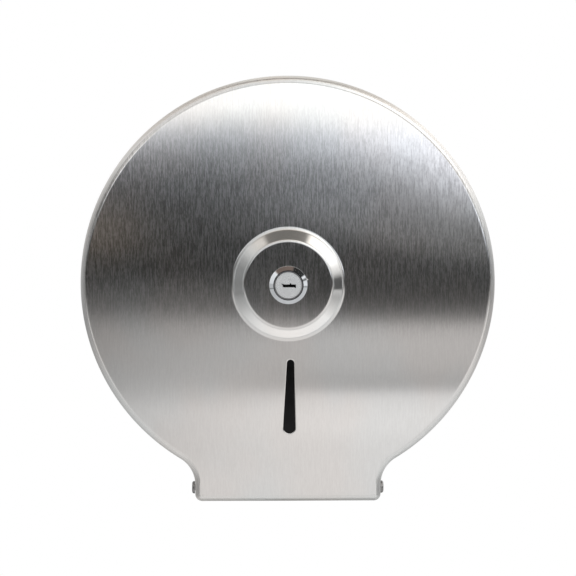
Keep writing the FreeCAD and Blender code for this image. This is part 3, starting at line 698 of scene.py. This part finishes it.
def makeCover():
    sheet = Sheet()
    face, wall, radius, lip = cover["face"], cover["sheet"], cover["edgeRound"], cover["lip"]
    flatFrom = radius + cover["ring"]
    points, outward = coverOutline()
    rim = rimDepth(points)

    def loop(inward, depth):  # the outline, moved in from the flange's outside
        return raise3d(points - outward * inward, depth)

    # the rolled edge's outside is a quarter circle from the flat face to the flange, and its inside a
    # smaller one about the same centre
    quarter = np.linspace(0.0, math.pi / 2, cover["arcSteps"])
    inner = radius - wall
    rows = [loop(flatFrom, face)]
    rows += [loop(radius - radius * math.sin(b), face - radius + radius * math.cos(b)) for b in quarter]
    rows += [loop(0.0, rim + lip), loop(lip, rim), loop(wall - lip, rim), loop(wall, rim + lip)]
    rows += [loop(radius - inner * math.sin(b), face - radius + inner * math.cos(b))
             for b in quarter[::-1]]
    rows += [loop(flatFrom, face - wall)]
    sheet.rings(rows, flip=True)

    section, ahead = bossSection()
    front, back = turned(section), turned(section - ahead * wall)
    sheet.rings(front)
    sheet.rings(back, flip=True)
    sheet.rings([front[-1], back[-1]])

    edge = cover["slotEdge"]
    growths = (edge + cover["ring"], edge, edge * 0.3, 0.0)
    border, wide, eased, slot = (slotOutline(grow) for grow in growths)
    sheet.rings([raise3d(border, face), raise3d(wide, face), raise3d(eased, face - edge * 0.3),
                 raise3d(slot, face - edge), raise3d(slot, face - wall), raise3d(border, face - wall)])

    outline = points - outward * flatFrom
    sheet.flat([outline, front[0][:, [0, 2]], border], face)
    sheet.flat([outline, back[0][:, [0, 2]], border], face - wall, flip=True)
    made = sheet.build("cover_sheet")
    made.data.materials.append(finishes["brushedSteel"])
    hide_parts("front_cover")
    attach(made, "cover")


makeCover()
print("cover made")

# Stage, light and camera


def flatPlane(name, corners):
    mesh = bpy.data.meshes.new(name)
    mesh.from_pydata(corners, [], [(0, 1, 2, 3)])
    made = bpy.data.objects.new(name, mesh)
    bpy.context.scene.collection.objects.link(made)
    return made


# how far a ray is of each kind, by the names of the Light Path's own outputs
def rayKinds(shade, *names):
    rays = shade.node("ShaderNodeLightPath").socket.node
    return [Wire(shade.tree, rays.outputs[name]) for name in names]


# a ramp of greys through tones, each at its own value between low and high
def toneRamp(shade, value, tones, low, high):
    spread = shade.node("ShaderNodeMapRange", {}, {"Value": value, "From Min": low, "From Max": high})
    stops = [((place - low) / (high - low), grey(tone)) for place, tone in tones]
    return shade.node("ShaderNodeValToRGB", {"stops": stops}, {"Fac": spread})


floorLook = {
    "size": 14.0,
    "drop": 0.62,  # below the spindle
    "dull": (0.80, 0.795, 0.785),
    "pale": (0.84, 0.835, 0.825),
    "roughness": 0.7,
    "fade": (0.45, 1.3),  # distances between which it turns white
}


# pale floor: near the object it takes light and shadow, further off it fades into the white background,
# and metal sees the studio in its place
def makeFloor():
    half, drop = floorLook["size"] / 2, -floorLook["drop"]
    corners = [(-half, -half, drop), (half, -half, drop), (half, half, drop), (-half, half, drop)]
    floor = flatPlane("floor", corners)
    material, shade = newMaterial("paleFloor")
    place = objectPlace(shade)
    away = distanceFrom(shade, place, (0.0, 0.0, 0.0), 2).ease(*floorLook["fade"])
    mottle = streaks(shade, place, grey(9.0), detail=3.0)
    colour = mixColours(shade, mottle, floorLook["dull"], floorLook["pale"])
    plain = principled(shade, Base_Color=colour, Roughness=floorLook["roughness"])
    white = shade.node("ShaderNodeEmission", {}, {"Color": grey(1.0), "Strength": 1.0})
    seen, through, glossy = rayKinds(shade, "Is Camera Ray", "Is Transmission Ray", "Is Glossy Ray")
    near = mixShaders(shade, (seen + through) * away, plain, white)
    closeMaterial(shade, mixShaders(shade, glossy, near, shade.node("ShaderNodeBsdfTransparent")))
    floor.data.materials.append(material)


card = {
    "away": 2.05,
    "width": 3.4,
    "top": 0.485,
    "leftToRight": (-0.1, 0.12),  # places across between which the left tones turn into the right ones
    "leanLimits": (-0.28, 0.3),  # past these the tones lean no further
    "leanHeight": (-0.21, -0.09),
    "lean": (0.4, 1.12),  # on the left and on the right
    "streaks": (2.5, 1.0, 38.0),
    "streakColour": (0.29, 0.235, 0.18),
    "endTone": 0.22,
    "warm": (1.012, 1.0, 1.0),
    "blue": (0.955, 1.0, 1.10),
    "white": (0.99, 1.0, 1.0),
    "cornerTone": 0.15,
}
toneHeights = (-0.49, 0.20)
# tones of the card by height in metres, from pale near the floor through dark to bright at the top
leftTones = [(-0.49, 0.93), (-0.42, 0.94), (-0.365, 1.0), (-0.34, 0.77), (-0.32, 0.65),
             (-0.30, 0.62), (-0.27, 0.62), (-0.241, 0.53), (-0.215, 0.17), (-0.20, 0.12),
             (-0.185, 0.10), (-0.165, 0.01), (-0.04, 0.0), (-0.02, 0.05), (0.0, 0.13),
             (0.014, 0.23), (0.026, 0.36), (0.036, 0.56), (0.048, 0.86), (0.06, 1.18), (0.08, 1.8),
             (0.13, 1.75), (0.18, 0.9)]
rightTones = [(-0.49, 1.0), (-0.42, 1.03), (-0.38, 1.19), (-0.359, 1.13), (-0.344, 1.13),
              (-0.339, 1.01), (-0.332, 0.42), (-0.322, 0.46), (-0.305, 0.62), (-0.28, 0.71),
              (-0.266, 0.75), (-0.252, 0.73), (-0.241, 0.66), (-0.232, 0.28), (-0.222, 0.10),
              (-0.208, 0.03), (-0.19, 0.0), (-0.165, 0.03), (-0.13, 0.02), (-0.10, 0.06),
              (-0.08, 0.23), (-0.05, 0.28), (-0.02, 0.22), (0.0, 0.38), (0.03, 0.75), (0.05, 1.12),
              (0.08, 1.9), (0.13, 2.0), (0.20, 0.9)]


# grey card behind the camera, seen only as a reflection: one set of tones on its left and one on its
# right, and where they are high up both lean down towards its sides
def makeCard():
    half, away, top, drop = card["width"] / 2, -card["away"], card["top"], -floorLook["drop"]
    corners = [(-half, away, drop), (half, away, drop), (half, away, top), (-half, away, top)]
    panel = flatPlane("reflector_card", corners)
    material, shade = newMaterial("greyCard")
    place = objectPlace(shade)
    across, _, up = splitPlace(shade, place)

    furthestLeft, furthestRight = card["leanLimits"]
    aside = shade.math("MINIMUM", shade.math("MAXIMUM", across, furthestLeft), furthestRight)
    strength = across.ease(-0.05, 0.05).between(*card["lean"])
    height = up + up.ease(*card["leanHeight"]) * aside * aside * strength
    leftSide = toneRamp(shade, height, leftTones, *toneHeights)
    rightSide = toneRamp(shade, height, rightTones, *toneHeights)
    tones = mixColours(shade, across.ease(*card["leftToRight"]), leftSide, rightSide)

    # a few faint warm streaks on the left, level with the dark tones, and both ends in a plain grey
    gleam = (1.0 - across.ease(-0.27, -0.14)) * up.ease(-0.18, -0.11) * (1.0 - up.ease(-0.07, -0.02))
    stripes = streaks(shade, place, card["streaks"], detail=1.0).ease(0.42, 0.62)
    tones = mixColours(shade, gleam * stripes.between(0.5, 1.0), tones, card["streakColour"])
    level = up.ease(-0.34, -0.26) * (1.0 - up.ease(-0.15, -0.08))
    ends = (1.0 - across.ease(-0.75, -0.3)) * 0.85 + across.ease(0.4, 0.9) * 0.7
    tones = mixColours(shade, level * ends, tones, grey(card["endTone"]))

    # the dark tones are a little warm, those above them blue and the brightest nearly white
    bright = mixColours(shade, up.ease(0.02, 0.07), card["blue"], card["white"])
    tint = mixColours(shade, up.ease(-0.14, -0.03), card["warm"], bright)
    tinted = tintColours(shade, tones, tint)

    # darker at the foot on the left, and in both corners above the low tones
    low = 1.0 - up.ease(-0.22, -0.16)
    foot = (1.0 - across.ease(-0.4, 0.0)) * up.ease(-0.475, -0.43) * low * 0.5
    corners = (across + up * 0.9).ease(-0.62, -0.3) * (up * 3.0 - across).ease(-1.1, -0.6)
    corners = corners * (1.0 - low) + low
    light = (1.0 - foot) * corners.between(card["cornerTone"], 1.0)
    lit = mixColours(shade, light, grey(0.0), tinted)
    glow = shade.node("ShaderNodeEmission", {}, {"Color": lit, "Strength": 1.0})
    glossy, = rayKinds(shade, "Is Glossy Ray")
    clear = shade.node("ShaderNodeBsdfTransparent")
    closeMaterial(shade, mixShaders(shade, glossy, clear, glow))
    panel.data.materials.append(material)


lamps = {
    "key_softbox": {"place": (0.35, -2.3, 1.15), "width": 2.8, "height": 1.5, "watts": 26.0},
    "fill_softbox": {"place": (-2.0, -1.0, 0.8), "width": 1.2, "height": 1.2, "watts": 9.0},
    "top_softbox": {"place": (0.2, -0.3, 1.9), "width": 1.0, "height": 1.0, "watts": 8.0},
}


# softboxes, each a panel that faces the object and doesn't show in metal
def makeLamp(name, place, width, height, watts):
    lamp = bpy.data.lights.new(name, "AREA")
    lamp.shape = "RECTANGLE"
    lamp.size = width
    lamp.size_y = height
    lamp.energy = watts
    made = bpy.data.objects.new(name, lamp)
    made.location = place
    made.rotation_euler = (-Vector(place)).to_track_quat("-Z", "Y").to_euler()
    made.visible_glossy = False
    bpy.context.scene.collection.objects.link(made)


world = {
    "tip": 0.095,  # tips the studio's rings to the camera's line of sight
    "lockTint": (0.96, 1.0, 1.03),
    "lockBrown": (1.13, 0.93, 0.86),
    "overhead": (1.0, 0.95, 0.89),
    "fill": 0.5,  # grey that lights plain surfaces
}


# tones of the studio by clock angle, in degrees anticlockwise from the right: to the sides, as the boss's
# slope shows them, and a little nearer to the viewer, as the lock's slopes do
sideTones = [(-180, 0.24), (-165, 0.30), (-150, 0.55), (-135, 0.95), (-120, 1.2), (-45, 1.35),
             (-35, 1.0), (-20, 0.55), (-12.5, 0.80), (-9.5, 0.02), (1, 0.02), (9, 1.1), (25, 2.3),
             (60, 2.3), (66, 0.22), (115, 0.22), (122, 1.2), (140, 1.05), (155, 0.45), (166, 0.25),
             (180, 0.24)]
lockTones = [(-180, 0.60), (-166, 0.60), (-164, 0.12), (-161, 0.62), (-90, 0.70), (-13, 0.72),
             (-10.5, 0.12), (-8, 1.0), (8, 0.95), (12, 0.10), (17, 0.5), (20, 1.1), (24, 1.1),
             (29, 0.04), (66, 0.03), (73, 0.20), (133, 0.18), (140, 1.1), (180, 0.85)]
# the same still nearer to the viewer, past the card, and behind the object
aheadTones = [(-180, 0.42), (-165, 0.32), (-150, 0.58), (-135, 0.78), (-115, 0.92), (-68, 0.92),
              (-48, 0.95), (-30, 0.92), (-15, 0.42), (0, 0.40), (11, 1.2), (26, 1.9), (45, 2.1),
              (60, 1.8), (75, 1.3), (90, 0.98), (120, 0.98), (135, 0.92), (150, 0.55), (165, 0.40),
              (180, 0.42)]
behindTones = [(-180, 0.90), (-165, 0.42), (-150, 0.50), (-135, 0.60), (-110, 0.45), (-60, 0.45),
               (-45, 0.75), (-15, 0.60), (0, 0.86), (26, 1.6), (45, 1.7), (60, 1.2), (90, 0.95),
               (120, 0.85), (135, 0.90), (150, 1.15), (165, 0.95), (180, 0.90)]


# white world: the camera sees plain white, and metal sees a studio of pale walls with a few dark flags,
# which change with the clock angle and from ring to ring round the line of sight
def makeWorld():
    made = bpy.data.worlds.new("studio")
    made.use_nodes = True
    made.node_tree.nodes.clear()
    shade = Wire(made.node_tree)
    across, back, up = splitPlace(shade, shade.node("ShaderNodeTexCoord", out="Generated"))
    clock = shade.math("ARCTAN2", up, across) * math.degrees(1.0)
    allTones = (sideTones, lockTones, aheadTones, behindTones)
    sides, lockSides, ahead, behind = (toneRamp(shade, clock, tones, -180, 180) for tones in allTones)
    brown = clock.ease(66.0, 74.0) * (1.0 - clock.ease(132.0, 138.0))
    lockTint = mixColours(shade, brown, world["lockTint"], world["lockBrown"])
    lockSides = tintColours(shade, lockSides, lockTint)
    tipped = back + up * world["tip"]
    studio = mixColours(shade, tipped.ease(-0.165, -0.185), sides, lockSides)
    studio = mixColours(shade, tipped.ease(-0.325, -0.36), studio, ahead)
    studio = mixColours(shade, tipped.ease(-0.01, 0.04), studio, behind)
    studio = tintColours(shade, studio, world["overhead"], up.ease(0.55, 0.85))
    seen, through, glossy = rayKinds(shade, "Is Camera Ray", "Is Transmission Ray", "Is Glossy Ray")
    lit = mixColours(shade, glossy, grey(world["fill"]), studio)
    colour = mixColours(shade, seen + through, lit, grey(1.0))
    sky = shade.node("ShaderNodeBackground", {}, {"Color": colour, "Strength": 1.0})
    shade.node("ShaderNodeOutputWorld", {}, {"Surface": sky})
    bpy.context.scene.world = made


view = {
    "lens": 155.7,
    "distance": 1.65,
    "azimuth": -1.2,
    "elevation": 5.4,
    "aim": (-0.1 * mm, -115.0 * mm, -2.6 * mm),
}


def makeCamera():
    turn, rise = math.radians(view["azimuth"]), math.radians(view["elevation"])
    back = Vector((math.sin(turn) * math.cos(rise), -math.cos(turn) * math.cos(rise), math.sin(rise)))
    camera = bpy.data.cameras.new("camera")
    camera.sensor_width = 36.0
    camera.lens = view["lens"]
    made = bpy.data.objects.new("camera", camera)
    made.location = Vector(view["aim"]) + back * view["distance"]
    made.rotation_euler = back.to_track_quat("Z", "Y").to_euler()
    bpy.context.scene.collection.objects.link(made)
    bpy.context.scene.camera = made


makeFloor()
makeCard()
for name, values in lamps.items():
    makeLamp(name, **values)
makeWorld()
makeCamera()
bpy.context.scene.view_settings.view_transform = "Standard"
print("stage made")
